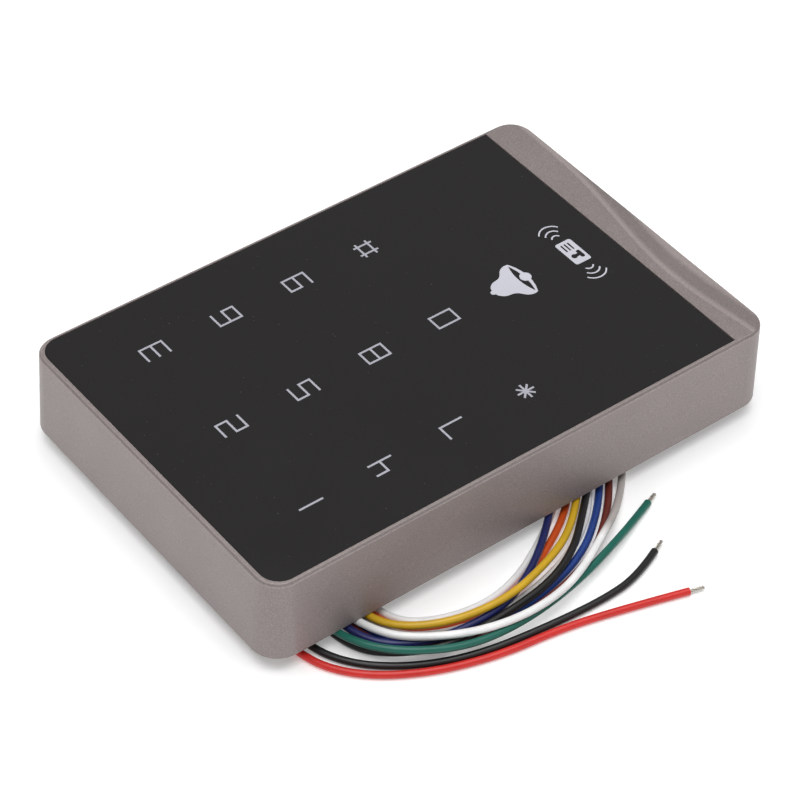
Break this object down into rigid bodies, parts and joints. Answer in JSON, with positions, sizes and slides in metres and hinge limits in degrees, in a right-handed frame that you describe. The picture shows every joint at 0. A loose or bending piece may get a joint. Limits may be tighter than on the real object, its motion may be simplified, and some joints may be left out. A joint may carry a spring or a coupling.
{
  "type": "rfid card reader",
  "caption": "Wall-mounted card reader with a gloss black touch keypad in a satin metal housing, a sprung tamper pin and loose lead wires for wiring in.",
  "frame": {"origin": "on the surface the reader lies on, under the middle of the housing; the foot of the cable boot is at z = 0", "axes": "+Z out of the front face, +Y towards the 1-2-3 end of the keypad, +X to the right of someone reading the keys"},
  "size_m": [0.1081, 0.1194, 0.0221],
  "materials": {
    "housing_metal": "satin metallic coat with a fine grain",
    "panel_black": "gloss black",
    "legend_grey": "smooth",
    "legend_white": "smooth",
    "tape_black": "matte",
    "guide_clear": "clear",
    "board_green": "solder mask",
    "board_black": "solder mask",
    "led_white": "smooth",
    "chip_black": "moulded",
    "nylon_white": "moulded",
    "relay_blue": "moulded",
    "can_silver": "drawn",
    "crystal_can": "polished",
    "ferrite_grey": "sintered",
    "enamelled_copper": "enamelled copper",
    "tinned_copper": "tinned",
    "solder": "bright",
    "screw_steel": "zinc plated",
    "spring_steel": "drawn wire",
    "cover_plastic": "fine spark texture",
    "seal_rubber": "matte",
    "boot_rubber": "matte",
    "plunger_plastic": "moulded",
    "wire_red": "smooth PVC",
    "wire_black_a": "smooth PVC",
    "wire_green": "smooth PVC",
    "wire_yellow": "smooth PVC",
    "wire_white_a": "smooth PVC",
    "wire_navy": "smooth PVC",
    "wire_orange": "smooth PVC",
    "wire_white_b": "smooth PVC",
    "wire_white_c": "smooth PVC",
    "wire_blue": "smooth PVC",
    "wire_brown": "smooth PVC",
    "wire_black_b": "smooth PVC"
  },
  "bodies": {
    "reader": {"front_housing": "housing_metal", "touch_panel": "panel_black", "key_legends": "legend_grey", "bell_icon": "legend_white", "card_icon": "legend_white", "panel_tape": "tape_black", "light_guide": "guide_clear", "keypad_board": "board_black", "backlight_leds": "led_white", "touch_controller": "chip_black", "board_spacers": "nylon_white", "main_board": "board_green", "microcontroller": "chip_black", "reader_chip": "chip_black", "board_screws": "screw_steel", "relay": "relay_blue", "buzzer": "chip_black", "capacitors": "can_silver", "power_inductor": "ferrite_grey", "voltage_regulator": "chip_black", "crystal": "crystal_can", "surge_diodes": "chip_black", "chip_parts": "ferrite_grey", "link_header": "chip_black", "coil_former": "nylon_white", "antenna_coil": "enamelled_copper", "inner_leads": "tinned_copper", "solder_joints": "solder", "rear_cover": "cover_plastic", "rear_gasket": "seal_rubber", "cover_screws": "screw_steel", "cable_boot": "boot_rubber", "tamper_spring": "spring_steel", "tamper_switch": "chip_black", "conductor_red": "tinned_copper", "conductor_black_a": "tinned_copper", "conductor_green": "tinned_copper", "tucked_conductors": "tinned_copper", "wire_red": "wire_red", "wire_black_a": "wire_black_a", "wire_green": "wire_green", "wire_yellow": "wire_yellow", "wire_white_a": "wire_white_a", "wire_navy": "wire_navy", "wire_orange": "wire_orange", "wire_white_b": "wire_white_b", "wire_white_c": "wire_white_c", "wire_blue": "wire_blue", "wire_brown": "wire_brown", "wire_black_b": "wire_black_b"},
    "tamper_plunger": {"tamper_plunger": "plunger_plastic"}
  },
  "joints": [
    {"name": "tamper_press", "type": "slide", "parent": "reader", "child": "tamper_plunger", "axis": [0, 0, 1], "range_m": [0, 0.0014], "stiffness_N_per_m": 200, "springref_m": -0.0015, "deforming": ["tamper_spring"]}
  ]
}
